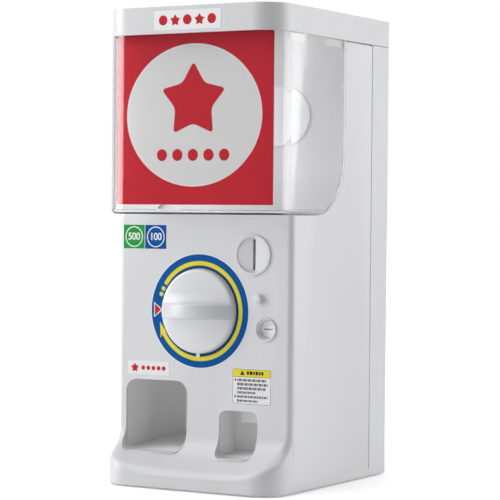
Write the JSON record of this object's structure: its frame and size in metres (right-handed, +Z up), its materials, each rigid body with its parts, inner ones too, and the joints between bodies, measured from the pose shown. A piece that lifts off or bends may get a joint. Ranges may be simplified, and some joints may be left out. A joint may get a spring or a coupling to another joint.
{
  "type": "capsule toy vendor",
  "caption": "Counter-top capsule toy vendor: white moulded case, clear hopper cover with a display card, coin slot, turning dial, capsule rotor, outlet and coin return.",
  "frame": {"origin": "middle of the case in plan, on the surface that the feet stand on", "axes": "+Z up, -Y towards the front panel, +X to the right as seen from the front"},
  "size_m": [0.191, 0.2292, 0.45],
  "materials": {
    "case_white": "satin moulded plastic",
    "inner_grey": "moulded plastic",
    "rubber": "matt",
    "clear": "clear styrene",
    "foam": "foam pad",
    "card": "printed card",
    "label": "printed film",
    "ring_print": "printed film",
    "green_print": "printed film",
    "steel": "zinc plated",
    "chrome": "bright nickel",
    "brass": "turned",
    "gear": "acetal",
    "rotor_blue": "moulded plastic",
    "lever_red": "moulded plastic",
    "flap_frost": "frosted styrene"
  },
  "bodies": {
    "root": {"front_panel": "case_white", "side_left": "case_white", "side_right": "case_white", "hopper_tray": "case_white", "foot_rim": "case_white", "rear_housing": "case_white", "base_plate": "inner_grey", "rubber_feet": "rubber", "clear_cover": "clear", "cover_pads": "foam", "display_card": "card", "blanking_cap": "case_white", "rotor_well": "inner_grey", "rotor_floor": "inner_grey", "rotor_carrier": "steel", "spindle_bush": "brass", "capsule_baffle": "inner_grey", "capsule_chute": "inner_grey", "outlet_cup": "inner_grey", "dial_bush": "brass", "rear_bush": "brass", "pawl_pin": "steel", "mech_frame": "steel", "ring_label": "ring_print", "coin_bezel": "case_white", "coin_chute": "inner_grey", "coin_ramp": "inner_grey", "coin_box": "inner_grey", "button_collar": "case_white", "button_spring": "steel", "lever_pin": "steel", "return_cup": "inner_grey", "flap_pin": "steel", "lock_bezel": "case_white", "lock_clip": "steel", "keeper_bracket": "steel", "price_label": "green_print", "name_label": "label", "notice_label": "label", "housing_screws": "steel", "frame_screws": "steel"},
    "lid": {"lid": "case_white", "lid_label": "label"},
    "dial": {"dial_handle": "case_white", "dial_shaft": "steel", "drive_pinion": "gear", "ratchet_wheel": "gear"},
    "rotor": {"capsule_rotor": "rotor_blue", "crown_gear": "gear", "rotor_spindle": "steel", "agitator": "gear"},
    "pawl": {"ratchet_pawl": "lever_red"},
    "button": {"return_button": "case_white"},
    "lever": {"reject_lever": "lever_red"},
    "flap": {"return_flap": "flap_frost"},
    "lock": {"lock_plug": "chrome", "lock_cam": "steel", "cam_screw": "steel"}
  },
  "joints": [
    {"name": "dial_turn", "type": "hinge", "parent": "root", "child": "dial", "pos_m": [-0.0044, -0.0845, 0.1662], "axis": [0, 1, 0], "continuous": true},
    {"name": "rotor_turn", "type": "hinge", "parent": "root", "child": "rotor", "pos_m": [-0.0044, -0.01, 0.2], "axis": [0, 0, 1], "continuous": true},
    {"name": "pawl_rock", "type": "hinge", "parent": "root", "child": "pawl", "pos_m": [0.016, -0.0655, 0.143], "axis": [0, 1, 0], "range_deg": [0, 12], "stiffness_Nm_per_rad": 0.02, "springref_deg": -11.46},
    {"name": "button_press", "type": "slide", "parent": "root", "child": "button", "axis": [0, 1, 0], "range_m": [0, 0.004], "stiffness_N_per_m": 150, "springref_m": -0.002, "deforming": ["button_spring"]},
    {"name": "lever_swing", "type": "hinge", "parent": "root", "child": "lever", "pos_m": [0.061, -0.0565, 0.192], "axis": [1, 0, 0], "range_deg": [0, 21]},
    {"name": "flap_swing", "type": "hinge", "parent": "root", "child": "flap", "pos_m": [0.0465, -0.0665, 0.0766], "axis": [-1, 0, 0], "range_deg": [0, 50]},
    {"name": "lock_turn", "type": "hinge", "parent": "root", "child": "lock", "pos_m": [0.0683, -0.0695, 0.1516], "axis": [0, -1, 0], "range_deg": [0, 90]},
    {"name": "lid_lift", "type": "slide", "parent": "root", "child": "lid", "axis": [0, 0, 1], "range_m": [0, 0.06]}
  ],
  "couplings": [
    {"joint": "rotor_turn", "follows": "dial_turn", "ratio": 0.33333},
    {"joint": "lever_swing", "follows": "button_press", "rad_per_m": 90}
  ]
}
